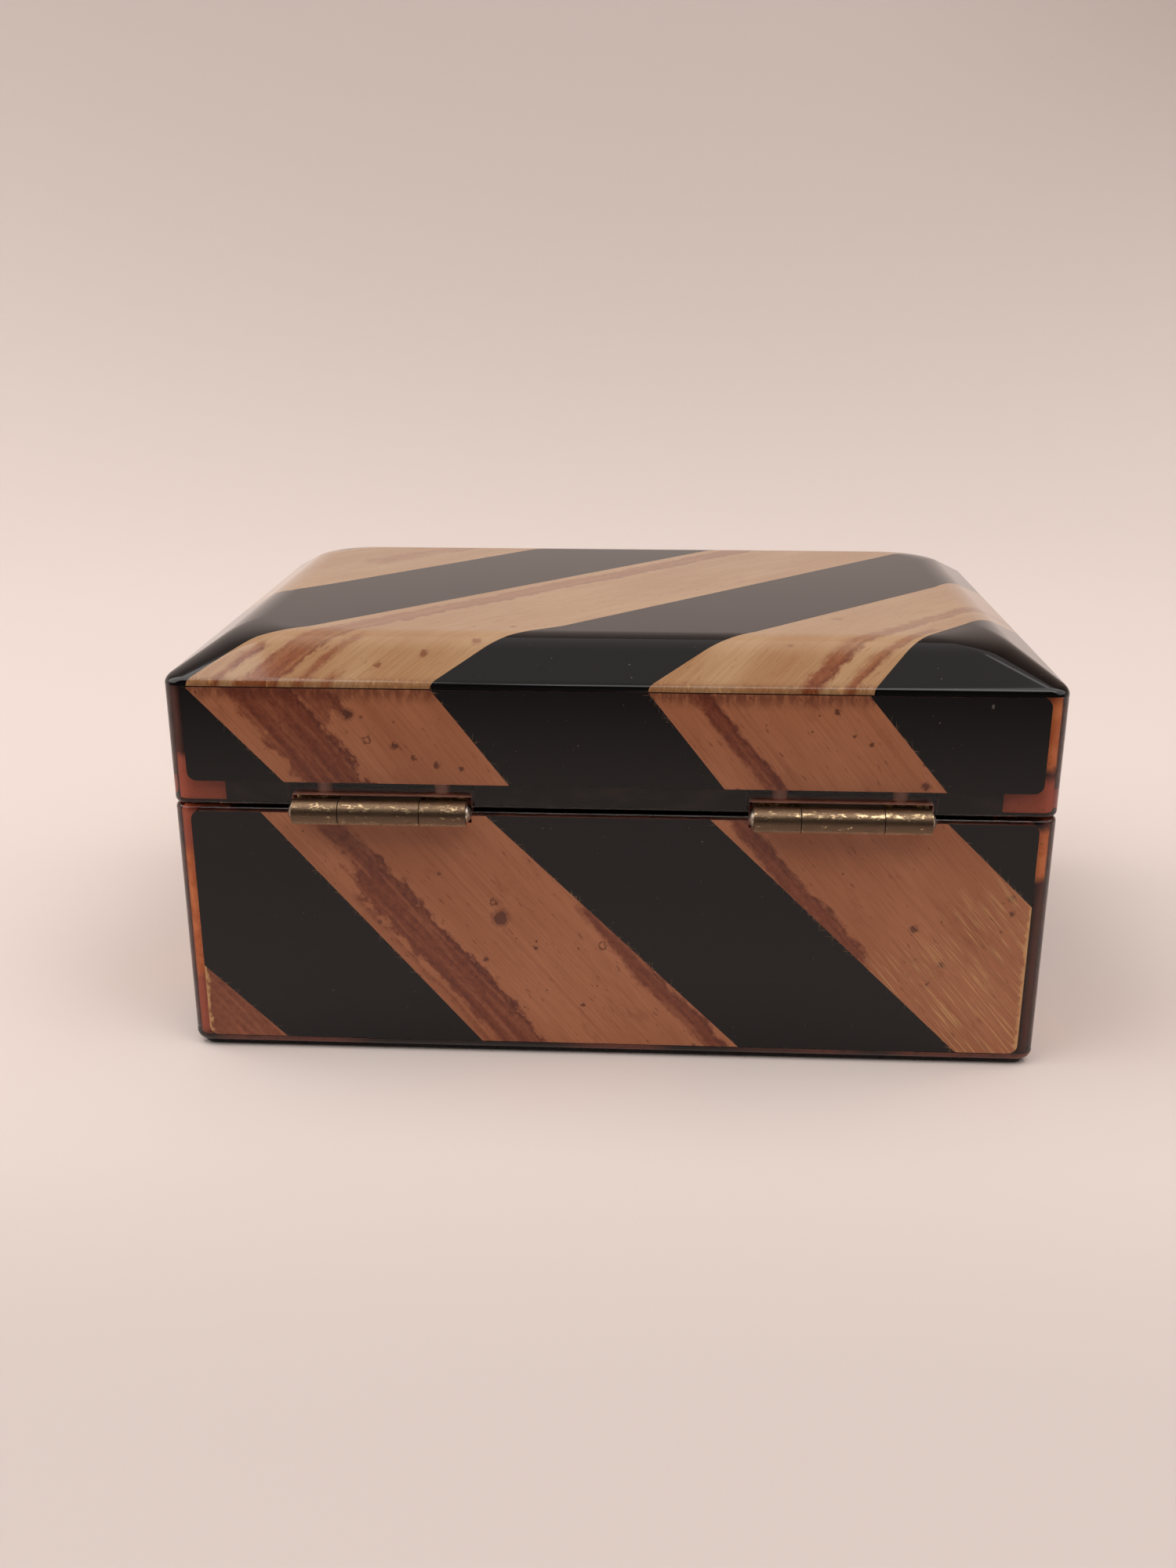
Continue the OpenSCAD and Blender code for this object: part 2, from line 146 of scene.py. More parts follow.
def arc(centre, radius, start, end, steps=10):
    """Points of an arc between two angles in degrees, each as (distance in from the box's side, height,
    angle in radians)."""
    found = []
    for i in range(steps + 1):
        a = math.radians(start + (end - start) * i / steps)
        found.append((centre[0] - radius * math.cos(a), centre[1] + radius * math.sin(a), a))
    return found


def side_ring(inset, z, radius):
    """The ring that lies a distance in from the box's four sides."""
    return ring(half_w - inset, half_d - inset, max(radius, 0.1 * MM), z)


def dome_rings(depth):
    """Rings from the top of the lid's sides to the edge of its flat top, under that depth of resin."""
    crease = math.tan((math.pi / 2 - dome_angle) / 2)
    shoulder = math.tan(dome_angle / 2)
    slope = 90 - math.degrees(dome_angle)
    edge_centre = (edge_r, edge_z - edge_r * crease)
    dome_centre = (dome_run + dome_r * shoulder, lid_high.z - dome_r)
    outer = arc(edge_centre, edge_r, 0, slope) + arc(dome_centre, dome_r, slope, 90, 14)
    inner = arc(edge_centre, edge_r - depth, 0, slope) + arc(dome_centre, dome_r - depth, slope, 90, 14)
    found = []
    for (t, _, a), (inset, z, _) in zip(outer, inner):
        hip = corner_r + (hip_r - corner_r) * t / dome_centre[0]
        found.append(side_ring(inset, z, hip - depth * math.cos(a)))
    return found


def round_over(inset, z, radius, start, end):
    """Rings of bare resin round an edge of the box's side: inset and z are its rounding's centre."""
    return [
        side_ring(t + resin_depth, h, corner_r - max(t, 0))
        for t, h, _ in arc((inset, z), radius, start, end, 6)
    ]


def strands(name, paths, radius):
    """Fine hairs, each a three-sided tube along its path that tapers to its tip."""
    points, faces = [], []
    for path in paths:
        first = len(points)
        for i, here in enumerate(path):
            ahead = path[min(i + 1, len(path) - 1)] - path[max(i - 1, 0)]
            one = ahead.orthogonal().normalized()
            two = ahead.normalized().cross(one)
            r = radius * (1 - 0.7 * i / (len(path) - 1))
            for k in range(3):
                a = 2 * math.pi * k / 3
                points.append(here + r * (one * math.cos(a) + two * math.sin(a)))
        for i in range(len(path) - 1):
            for k in range(3):
                a, b = first + 3 * i + k, first + 3 * i + (k + 1) % 3
                faces.append([a, b, b + 3, a + 3])
        last = first + 3 * (len(path) - 1)
        faces += [[first + 2, first + 1, first], [last, last + 1, last + 2]]
    return mesh_object(name, points, faces)


def modified(obj, kind, **settings):
    """Applies one modifier to the object's mesh."""
    mod = obj.modifiers.new(kind.lower(), kind)
    for key, value in settings.items():
        setattr(mod, key, value)
    graph = bpy.context.evaluated_depsgraph_get()
    mesh = bpy.data.meshes.new_from_object(obj.evaluated_get(graph))
    obj.modifiers.clear()
    obj.data = mesh
    return obj


def combine(obj, other, operation):
    """Joins the other shape to the object, cuts it from it, or keeps only what both share."""
    return modified(obj, "BOOLEAN", object=other, operation=operation, solver="MANIFOLD")


def drop(*objs):
    """Removes shapes that only served to cut others."""
    for obj in objs:
        bpy.data.objects.remove(obj)


def smooth(obj, angle=32):
    """Shades the object smooth except at edges sharper than the angle, and keeps its flats flat."""
    for face in obj.data.polygons:
        face.use_smooth = True
    obj.data.set_sharp_from_angle(angle=math.radians(angle))
    return modified(obj, "WEIGHTED_NORMAL", keep_sharp=True, weight=100)


def block(name, low, high):
    """A plain block between two corners."""
    x, y, z = zip(low, high)
    points = [(x[i], y[j], z[k]) for i in (0, 1) for j in (0, 1) for k in (0, 1)]
    faces = [[0, 1, 3, 2], [4, 6, 7, 5], [0, 4, 5, 1], [2, 3, 7, 6], [0, 2, 6, 4], [1, 5, 7, 3]]
    return mesh_object(name, points, faces)


def rod(name, x, y, z0, z1, radius, sides=32):
    """An upright rod, used only to cut."""
    points = []
    for z in (z0, z1):
        for i in range(sides):
            a = 2 * math.pi * i / sides
            points.append((x + radius * math.cos(a), y + radius * math.sin(a), z))
    faces = [list(range(sides))[::-1], list(range(sides, 2 * sides))]
    for i in range(sides):
        k = (i + 1) % sides
        faces.append([i, k, sides + k, sides + i])
    return mesh_object(name, points, faces)


# Building materials

class Nodes:
    """A short way to write a material's node tree."""

    def __init__(self, name):
        self.material = bpy.data.materials.new(name)
        self.material.use_nodes = True
        self.tree = self.material.node_tree
        self.shader = self.tree.nodes["Principled BSDF"]
        self.output = self.tree.nodes["Material Output"]

    def add(self, kind, inputs=None, **settings):
        """Adds a node. An input is a number, a colour or another node's socket."""
        node = self.tree.nodes.new(kind)
        for key, value in settings.items():
            setattr(node, key, value)
        self.feed(node, inputs or {})
        return node

    def feed(self, node, inputs):
        for key, value in inputs.items():
            if isinstance(value, bpy.types.NodeSocket):
                self.tree.links.new(value, node.inputs[key])
            else:
                node.inputs[key].default_value = value

    def math(self, operation, a, b=0.0):
        return self.add("ShaderNodeMath", {0: a, 1: b}, operation=operation).outputs[0]

    def plus(self, a, b):
        return self.math("ADD", a, b)

    def minus(self, a, b):
        return self.math("SUBTRACT", a, b)

    def times(self, a, b):
        return self.math("MULTIPLY", a, b)

    def most(self, a, b):
        return self.math("MAXIMUM", a, b)

    def vector_math(self, operation, a, b=(0.0, 0.0, 0.0), output="Vector"):
        node = self.add("ShaderNodeVectorMath", {0: a, 1: b}, operation=operation)
        return node.outputs[output]

    def dot(self, vector, axis):
        return self.vector_math("DOT_PRODUCT", vector, axis, "Value")

    def place(self):
        """The point's place on the object, in millimetres."""
        coords = self.add("ShaderNodeTexCoord").outputs["Object"]
        scaled = self.add("ShaderNodeVectorMath", {0: coords, "Scale": 1 / MM}, operation="SCALE")
        return scaled.outputs[0]

    def vector(self, x, y=0.0, z=0.0):
        return self.add("ShaderNodeCombineXYZ", {0: x, 1: y, 2: z}).outputs[0]

    def split(self, vector):
        """The vector's three shares."""
        return self.add("ShaderNodeSeparateXYZ", {0: vector}).outputs

    def stretched(self, vector, *factors):
        """The vector with each of its shares times its own factor."""
        return self.vector_math("MULTIPLY", vector, factors)

    def noise(self, vector, scale, detail=4.0, roughness=0.5, distortion=0.0):
        node = self.add("ShaderNodeTexNoise", {
            "Vector": vector, "Scale": scale, "Detail": detail, "Roughness": roughness,
            "Distortion": distortion,
        })
        return node.outputs["Fac"]

    def step(self, value, low, high, to_low=0.0, to_high=1.0):
        """A smooth rise from to_low to to_high as value goes from low to high."""
        node = self.add("ShaderNodeMapRange", {
            "Value": value, "From Min": low, "From Max": high, "To Min": to_low, "To Max": to_high,
        }, interpolation_type="SMOOTHSTEP")
        return node.outputs[0]

    def near(self, value, limit, soft):
        """One where the value is well under the limit, fading to nothing as it comes up to it."""
        is_socket = isinstance(limit, bpy.types.NodeSocket)
        low = self.minus(limit, soft) if is_socket else limit - soft
        return self.step(value, low, limit, 1.0, 0.0)

    def mix(self, share, a, b):
        """Colour a turned into colour b by a share."""
        node = self.add("ShaderNodeMix", data_type="RGBA")
        self.feed(node, {0: share, 6: colour(a), 7: colour(b)})
        return node.outputs[2]

    def bump(self, height, distance, strength=1.0):
        node = self.add("ShaderNodeBump", {"Height": height, "Distance": distance, "Strength": strength})
        return node.outputs["Normal"]

    def ripple(self):
        """The faint unevenness of a hand-polished face."""
        return self.bump(self.noise(self.place(), 0.05, 1.0), 0.0004, 0.07)

    def coat(self):
        """Covers the shader with the resin's clear polished coat."""
        self.feed(self.shader, {
            "Specular IOR Level": 0.0, "Coat Weight": 1.0, "Coat Roughness": 0.07,
            "Coat IOR": RESIN_IOR, "Coat Normal": self.ripple(),
        })


def colour(value):
    """A colour written as three shares from 0 to 1 gets its fourth."""
    return (*value, 1.0) if isinstance(value, tuple) and len(value) == 3 else value


def dress(obj, material):
    """Gives the object one material all over."""
    obj.data.materials.clear()
    obj.data.materials.append(material)


RESIN_IOR = 1.42
# Colours of the bark as seen through its clear amber coat: pale, its deeper patches, its fibre lines,
# its stains from pale to dark, and its spots. First on the upright faces
SIDE_BARK = ((0.425, 0.160, 0.075), (0.355, 0.122, 0.053), (0.225, 0.070, 0.029),
             (0.200, 0.050, 0.022), (0.090, 0.018, 0.009), (0.080, 0.020, 0.011))
# Then on the lid's top, painted paler and creamier for the stronger light and the backdrop's reflection
# that the top catches
TOP_BARK_PAINTED_LIGHT = ((0.39, 0.240, 0.122), (0.32, 0.165, 0.072), (0.23, 0.090, 0.032),
            (0.23, 0.068, 0.022), (0.115, 0.028, 0.010), (0.16, 0.045, 0.014))
# Painted light: the pale tone that the lid's flat top is mixed towards
PLATEAU_PAINTED_LIGHT = (0.48, 0.33, 0.215)
# The resin seen along a sheet's cut edge
EDGE = (0.15, 0.040, 0.022)
# Gold of torn ends and the fringe's flakes, also used as a painted glint on raised fibres
GOLD = (0.60, 0.33, 0.14)


def resin_material(name, roughness, clear, shade=(1.0, 1.0, 1.0)):
    """Amber casting resin: clear near the surface, deeper red-brown the further light travels in it.
    Where a tool has cut it, it is milky and less clear."""
    n = Nodes(name)
    n.feed(n.shader, {
        "Base Color": colour(shade), "Roughness": roughness, "IOR": RESIN_IOR,
        "Transmission Weight": clear, "Normal": n.ripple(),
    })
    depth = n.add("ShaderNodeVolumeAbsorption", {
        "Color": (0.85, 0.42, 0.17, 1.0), "Density": 160.0,
    })
    n.tree.links.new(depth.outputs[0], n.output.inputs["Volume"])
    return n.material


def black_material(name, scratches=()):
    """Near-black sheet under its clear coat, with faint mottling and pale specks. Each scratch is a place
    and the reach of the mark along each axis."""
    n = Nodes(name)
    place = n.place()
    cloud = n.noise(place, 0.03, 3.0)
    shade = n.mix(cloud, (0.0010, 0.0006, 0.0010), (0.0026, 0.0018, 0.0024))
    dust = n.noise(place, 1.6, 2.0)
    shade = n.mix(n.near(dust, 0.25, 0.03), shade, (0.11, 0.08, 0.065))
    for spot, reach in scratches:
        apart = n.vector_math("DIVIDE", n.vector_math("SUBTRACT", place, spot), reach)
        far = n.vector_math("LENGTH", apart, output="Value")
        shade = n.mix(n.near(far, 1.0, 0.5), shade, (0.10, 0.085, 0.075))
    n.feed(n.shader, {"Base Color": shade, "Roughness": 0.45})
    n.coat()
    return n.material


def stain_mask(n, c, a, stains):
    """How stained each point is, and how near it lies to a stain's dark edge on its higher side."""
    ragged = n.noise(n.vector(n.times(c, 0.55), n.times(a, 0.3)), 1.0, 8.0, 0.66)
    ragged = n.minus(ragged, 0.5)
    bend = n.noise(n.vector(0.0, n.times(a, 0.05)), 1.0, 2.0)
    c = n.plus(c, n.times(n.minus(bend, 0.5), 3.0))
    whole, rim = 0.0, 0.0
    for middle, half, begin, end, strength in stains:
        off = n.minus(c, middle)
        depth = n.minus(half, n.math("ABSOLUTE", off))
        depth = n.math("MINIMUM", depth, n.times(n.minus(a, begin), 0.3))
        depth = n.math("MINIMUM", depth, n.times(n.minus(end, a), 0.3))
        depth = n.plus(depth, n.times(ragged, 1.6 + 1.3 * half))
        inside = n.times(n.step(depth, -0.5, 0.8), strength)
        edge = n.times(n.times(inside, n.near(depth, 1.2, 0.9)), n.step(off, 0.0, 0.6 * half))
        whole = n.most(inside, whole)
        rim = n.most(edge, rim)
    return whole, rim


def spot_mask(n, flat, spots):
    """Brown spots with a soft halo. A negative radius makes a thin ring."""
    waver = 1.4
    wobble = n.add("ShaderNodeTexNoise", {"Vector": flat, "Scale": 0.9, "Detail": 5.0}).outputs["Color"]
    wobble = n.stretched(wobble, waver, waver, 0.0)
    moved = n.vector_math("ADD", flat, wobble)
    rough = n.times(n.minus(n.noise(flat, 2.2, 4.0, 0.7), 0.5), 1.2)
    whole = 0.0
    for across, along, radius in spots:
        centre = (across + waver / 2, along + waver / 2, 0.0)
        far = n.plus(n.vector_math("DISTANCE", moved, centre, "Value"), rough)
        if radius < 0:
            mark = n.times(n.near(n.math("ABSOLUTE", n.plus(far, radius)), 0.26, 0.16), 0.8)
        else:
            core = n.near(far, radius, 0.15 * radius)
            halo = n.near(far, 1.7 * radius, 0.5 * radius)
            mark = n.most(core, n.times(halo, 0.4))
        whole = n.most(mark, whole)
    return whole


def scattered(n, flat, cell, radius, empty):
    """Small dots in the cells of a loose grid, up to the radius. Empty is the share of cells left bare."""
    node = n.add("ShaderNodeTexVoronoi", {"Vector": flat, "Scale": 1 / cell})
    pick = n.add("ShaderNodeSeparateColor", {0: node.outputs["Color"]})
    size = n.step(pick.outputs[0], empty, 1.0, 0.0, radius / cell)
    return n.near(node.outputs["Distance"], size, 0.4 * radius / cell)


def bark_material(name, along, across, marks, palette):
    """Pale bark with straight fibres along the strip, and its brown stains and spots. The marks are in
    millimetres across and along the fibres."""
    pale, deep, line, stain_pale, stain_dark, spot = palette
    n = Nodes(name)
    place = n.place()
    a = n.dot(place, along)
    c = n.dot(place, across)
    flat = n.vector(c, a)
    z = n.split(place)[2]

    broad = n.noise(n.vector(c, n.times(a, 0.3)), 0.09, 3.0)
    shade = n.mix(n.step(broad, 0.3, 0.7), deep, pale)
    fibres = n.noise(n.vector(c, n.times(a, 0.03)), 3.0, 5.0, 0.6)
    shade = n.mix(n.step(fibres, 0.42, 0.66, 0.0, 0.32), shade, line)
    veins = n.noise(n.vector(c, n.times(a, 0.012)), 0.75, 3.0)
    shade = n.mix(n.step(veins, 0.53, 0.68, 0.0, 0.25), shade, line)
    clouds = n.noise(n.vector(n.times(c, 0.16), n.times(a, 0.07)), 1.0, 6.0, 0.68)
    shade = n.mix(n.step(clouds, 0.55, 0.75, 0.0, 0.5), shade, stain_pale)
    dashes = n.noise(n.vector(n.times(c, 1.7), n.times(a, 0.35)), 1.0, 3.0, 0.55)
    shade = n.mix(n.step(dashes, 0.62, 0.72, 0.0, 0.55), shade, stain_dark)

    whole, rim = stain_mask(n, c, a, marks["stains"])
    grain = n.noise(n.vector(c, n.times(a, 0.7)), 1.1, 9.0, 0.82)
    streak = n.noise(n.vector(c, n.times(a, 0.06)), 0.7, 4.0, 0.6)
    shade = n.mix(n.times(whole, n.step(streak, 0.30, 0.55, 0.5, 1.0)), shade, stain_pale)
    depth = n.plus(n.plus(n.times(grain, 0.7), n.times(streak, 0.3)), n.times(rim, 0.16))
    shade = n.mix(n.times(whole, n.step(depth, 0.42, 0.68, 0.0, 0.95)), shade, stain_dark)

    dots = n.most(scattered(n, flat, 7.0, 0.6, 0.5), scattered(n, flat, 2.6, 0.28, 0.45))
    spots = n.most(spot_mask(n, flat, marks["spots"]), n.times(dots, 0.7))
    shade = n.mix(n.times(spots, 0.85), shade, spot)

    # Raised fibres along a stretch of the strip, with a painted golden glint on them
    glinting_ridges = n.noise(n.vector(c, n.times(a, 0.03)), 2.8, 3.0, 0.6)
    glinting_ridges = n.times(n.step(glinting_ridges, 0.50, 0.64), n.step(a, *marks["glinting_ridges"]))
    shade = n.mix(n.times(glinting_ridges, 0.65), shade, GOLD)

    hairs = n.noise(n.stretched(place, 0.8, 0.8, 0.25), 1.0, 5.0, 0.6)
    start, full, darkness, brightness = marks["fringe"]
    fringe = n.step(n.plus(z, n.minus(hairs, 0.5)), start, full)
    shade = n.mix(n.times(fringe, n.step(hairs, 0.35, 0.58, 0.2 * darkness, darkness)), shade, stain_dark)
    shade = n.mix(n.times(fringe, n.step(hairs, 0.54, 0.66, 0.0, brightness)), shade, GOLD)

    side, end = marks["end"]
    torn = n.dot(n.vector_math("ABSOLUTE", place), side)
    torn = n.plus(torn, n.times(n.noise(place, 0.9, 4.0, 0.6), 2.2))
    shade = n.mix(n.step(torn, end + 0.3, end + 1.0, 0.0, 0.85), shade, GOLD)
    # Painted light: near the lid's top the bark is mixed towards a paler tone, for the light and
    # reflection the flat top catches
    painted_paler = n.mix(0.55, shade, PLATEAU_PAINTED_LIGHT)
    lid_top = lid_high.z / MM
    shade = n.mix(n.step(z, lid_top - 2.8, lid_top - 0.4, 0.0, 0.55), shade, painted_paler)

    relief = n.plus(n.plus(fibres, glinting_ridges), n.times(fringe, hairs))
    n.feed(n.shader, {"Base Color": shade, "Roughness": 0.6, "Normal": n.bump(relief, 0.0001, 0.7)})
    n.coat()
    return n.material


def brass_material(name, dull, bright, worn_from):
    """Tarnished brass, rubbed bright in patches, most of all along the barrels' lower side. Painted
    reflections make the middle a dark belt and the lower side lighter."""
    n = Nodes(name)
    place = n.place()
    z = n.split(place)[2]
    axis = axis_z / MM
    patch = n.noise(n.stretched(place, 0.5, 1.1, 1.1), 1.0, 7.0, 0.78)
    reflecting_low_side = n.near(z, axis - 1.15, 0.7)
    high_side = n.times(n.step(z, axis + 0.45, axis + 1.05), n.near(z, axis + 2.05, 0.4))
    # Wear placed heavier along the lower and upper sides, partly standing in for their brighter
    # reflections
    rubbed = n.plus(n.times(reflecting_low_side, 0.08), n.times(high_side, 0.07))
    worn = n.step(n.plus(patch, rubbed), worn_from, worn_from + 0.08)
    pits = n.noise(place, 2.2, 4.0, 0.65)
    dark_reflection_belt = n.near(n.math("ABSOLUTE", n.minus(z, axis - 0.15)), 1.2, 0.8)
    # Painted reflections: the lower side lighter, as from the lit floor, and a dark belt along the middle
    shade = n.mix(n.times(reflecting_low_side, 0.85), dull, (0.78, 0.58, 0.40))
    shade = n.mix(n.times(dark_reflection_belt, 0.5), shade, (0.08, 0.052, 0.04))
    shade = n.mix(worn, shade, bright)
    shade = n.mix(n.step(pits, 0.52, 0.66, 0.0, 0.7), shade, (0.11, 0.07, 0.05))
    scuffs = n.noise(n.stretched(place, 0.3, 4.0, 4.0), 1.0, 3.0, 0.6)
    n.feed(n.shader, {
        "Base Color": shade, "Metallic": 1.0, "Roughness": n.step(patch, 0.4, 0.7, 0.42, 0.26),
        "Normal": n.bump(n.plus(pits, scuffs), 0.00003, 0.6),
    })
    return n.material


def lining_material():
    """Black lining sheet, satin inside the box."""
    n = Nodes("lining")
    place = n.place()
    grain = n.noise(place, 2.5, 4.0)
    cloud = n.noise(place, 0.05, 3.0)
    shade = n.mix(grain, (0.002, 0.0016, 0.0017), (0.006, 0.0048, 0.0048))
    shade = n.mix(n.step(cloud, 0.45, 0.7, 0.0, 0.4), shade, (0.010, 0.0065, 0.006))
    n.feed(n.shader, {
        "Base Color": shade, "Roughness": 0.42, "Specular IOR Level": 0.08,
        "Normal": n.bump(grain, 0.00003, 0.3),
    })
    return n.material


def smoky_material():
    """Clear resin over the black lining, with faint brown clouds in it."""
    n = Nodes("smoky_resin")
    place = n.place()
    clouds = n.noise(n.stretched(place, 1.0, 1.0, 2.0), 0.16, 5.0, 0.65)
    shade = n.mix(n.step(clouds, 0.40, 0.72), (0.0014, 0.0008, 0.0010), (0.016, 0.0085, 0.0062))
    n.feed(n.shader, {"Base Color": shade, "Roughness": 0.6})
    n.coat()
    return n.material


def foot_material():
    """Resin at the foot, painted as the bark's reflection in its rounded edge: red-brown along some
    stretches and nearly black along the others.
    """
    n = Nodes("foot_resin")
    place = n.place()
    broad = n.noise(place, 0.035, 1.0)
    fine = n.noise(place, 0.7, 4.0, 0.6)
    shade = n.mix(n.step(broad, 0.42, 0.56), (0.010, 0.005, 0.004), (0.13, 0.036, 0.022))
    shade = n.mix(n.step(fine, 0.5, 0.7, 0.0, 0.6), shade, (0.035, 0.012, 0.008))
    n.feed(n.shader, {"Base Color": shade, "Roughness": 0.6})
    n.coat()
    return n.material


def edge_material():
    """The side of a sheet and of its coat, as the resin beside it shows it."""
    n = Nodes("sheet_edge")
    cloud = n.noise(n.place(), 0.3, 4.0, 0.6)
    shade = n.mix(n.step(cloud, 0.3, 0.7), EDGE, (0.06, 0.018, 0.012))
    n.feed(n.shader, {"Base Color": shade, "Roughness": 0.7, "Specular IOR Level": 0.0})
    return n.material


def felt_material():
    """Black felt: matted fibres that catch a little light."""
    n = Nodes("felt")
    place = n.place()
    mat = n.noise(place, 1.4, 6.0, 0.75, 1.5)
    lint = n.noise(place, 3.1, 3.0, 0.6, 3.0)
    shade = n.mix(n.step(mat, 0.35, 0.7), (0.011, 0.010, 0.011), (0.045, 0.041, 0.043))
    shade = n.mix(n.step(lint, 0.68, 0.74, 0.0, 0.6), shade, (0.12, 0.11, 0.10))
    n.feed(n.shader, {
        "Base Color": shade, "Roughness": 0.95, "Specular IOR Level": 0.2, "Sheen Weight": 0.25,
        "Sheen Roughness": 0.5, "Normal": n.bump(mat, 0.0003, 0.8),
    })
    return n.material


def fibre_material(name, dark, pale):
    """Loose fibres, each a little lighter or darker along its length."""
    n = Nodes(name)
    shade = n.mix(n.step(n.noise(n.place(), 1.7, 3.0), 0.35, 0.65), dark, pale)
    n.feed(n.shader, {"Base Color": shade, "Roughness": 0.7, "Specular IOR Level": 0.0})
    return n.material


def amber_material(name, painted_glow, painted_red_light):
    """The resin's milky amber body in the corners, painted with the light that comes through the resin. It
    has a painted orange glow between two heights and painted red-brown light between two others, both
    given by whether the corner is on the +X and the +Y side. Elsewhere it is painted nearly black, in
    shade, with a little painted red light next to the box's left and right sides."""
    n = Nodes(name)
    place = n.place()
    axes = n.split(place)
    cloud = n.noise(place, 0.22, 4.0, 0.6)
    z = n.plus(axes[2], n.times(n.minus(cloud, 0.5), 3.0))

    def between(heights):
        """One between the two heights of each corner, fading out beyond them."""
        whole = 0.0
        for corner, (low, high) in heights.items():
            here = n.times(n.step(z, low - 1, low + 1), n.near(z, high + 1, 2.0))
            for axis, positive in zip(axes, corner):
                here = n.times(here, n.step(axis, *((-1.0, 1.0) if positive else (1.0, -1.0))))
            whole = n.most(here, whole)
        return whole

    # Painted red-brown light between the given heights and next to the box's left and right sides, over
    # painted shade
    reach = n.math("ABSOLUTE", axes[0])
    outer_red_light = n.step(reach, half_w / MM - 3.2, half_w / MM - 2.0, 0.0, 0.2)
    red = n.most(between(painted_red_light), outer_red_light)
    shade = n.mix(red, (0.014, 0.006, 0.005), (0.46, 0.125, 0.072))
    # Painted orange glow between the given heights
    orange = n.mix(n.step(cloud, 0.35, 0.65), (0.62, 0.18, 0.052), (0.80, 0.30, 0.10))
    shade = n.mix(between(painted_glow), shade, orange)
    speck = n.noise(place, 1.9, 3.0)
    shade = n.mix(n.step(speck, 0.66, 0.72, 0.0, 0.6), shade, (0.10, 0.04, 0.02))
    # Painted shade: the ends at the rim, and the side towards the hollow where the lining lies behind, are
    # dark
    facing = n.split(n.add("ShaderNodeTexCoord").outputs["Normal"])
    level = n.step(n.math("ABSOLUTE", facing[2]), 0.5, 0.9, 0.0, 0.8)
    inner = 1.0
    for axis, wall in zip(axes, lining_high.xy):
        inner = n.times(inner, n.near(n.math("ABSOLUTE", axis), wall / MM + 0.6, 0.2))
    shade = n.mix(n.most(inner, level), shade, (0.012, 0.006, 0.005))
    n.feed(n.shader, {"Base Color": shade, "Roughness": 0.7, "Specular IOR Level": 0.0})
    return n.material


resin = resin_material("resin", 0.05, 1.0)
frosted = resin_material("frosted_resin", 0.45, 0.05, (0.96, 0.48, 0.38))
drilled = resin_material("drilled_resin", 0.5, 0.1, (0.92, 0.68, 0.60))

# The castings


def hollow_rings(high, rim_z, deep_z):
    """Rings down one wall of a hollow, from its rim to its deep end, a bond's width into the linings."""
    reach_x = high.x + bond
    reach_y = high.y + bond
    return [
        ring(reach_x, reach_y, hollow_corner_r, rim_z),
        ring(reach_x, reach_y, hollow_corner_r, deep_z),
    ]


def lid_casting():
    """The whole lid in resin, with its hollow."""
    rim_z = lid_low.z
    deep_z = ceiling_high.z + bond
    outside = round_over(rim_edge_r, rim_z + rim_edge_r, rim_edge_r, -90, 0) + dome_rings(resin_depth)
    inside = hollow_rings(ceiling_high, rim_z, deep_z)
    return loft("lid_resin", inside[::-1] + outside)


def base_casting():
    """The whole base in resin, with its hollow."""
    rim_z = base_high.z
    foot_z = base_low.z - bond
    outside = (
        round_over(foot_edge_r, foot_z + foot_edge_r, foot_edge_r, -90, 0)
        + round_over(rim_edge_r, rim_z - rim_edge_r, rim_edge_r, 0, 90)
    )
    deep_z = lining_low.z - bond
    return loft("base_resin", outside + hollow_rings(lining_high, rim_z, deep_z))


def hinge_cutters(body):
    """The mortises and screw holes of one casting, as shapes to cut from it."""
    found = []
    for side in ("left", "right"):
        leaf_low, leaf_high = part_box(f"{side}_hinge_{body}_leaf")
        screw_low, screw_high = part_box(f"{side}_hinge_{body}_screws")
        end_gap = 0.6 * MM
        play = 0.05 * MM
        middle = (leaf_low.z + leaf_high.z) / 2
        low = [leaf_low.x - end_gap, leaf_low.y - play, middle]
        high = [leaf_high.x + end_gap, half_d + overrun, middle]
        if body == "lid":
            low[2] = lid_low.z - overrun
            high[2] = leaf_high.z + play
        else:
            low[2] = leaf_low.z - play
            high[2] = base_high.z + overrun
        mortise = block("mortise", low, high)
        mortise.data.materials.append(frosted)
        found.append(mortise)
        head_r = 1.6 * MM
        hole_r = 1.35 * MM
        y = (screw_low.y + screw_high.y) / 2
        for x in (screw_low.x + head_r, screw_high.x - head_r):
            hole = rod("screw_hole", x, y, screw_low.z, screw_high.z, hole_r)
            hole.data.materials.append(drilled)
            found.append(hole)
    return found


def finish_casting(obj, body):
    """Cuts the hinges' room from a casting and gives it its finish."""
    obj.data.materials.append(resin)
    cutters = hinge_cutters(body)
    for cutter in cutters:
        modified(obj, "BOOLEAN", object=cutter, operation="DIFFERENCE", solver="EXACT",
                 material_mode="TRANSFER")
    drop(*cutters)
    smooth(obj)
    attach(obj, body)
    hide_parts(f"{body}_core", f"{body}_coat")


finish_casting(lid_casting(), "lid")
finish_casting(base_casting(), "base")


# The milky amber corners inside the castings, painted with the light and shade of light through the resin

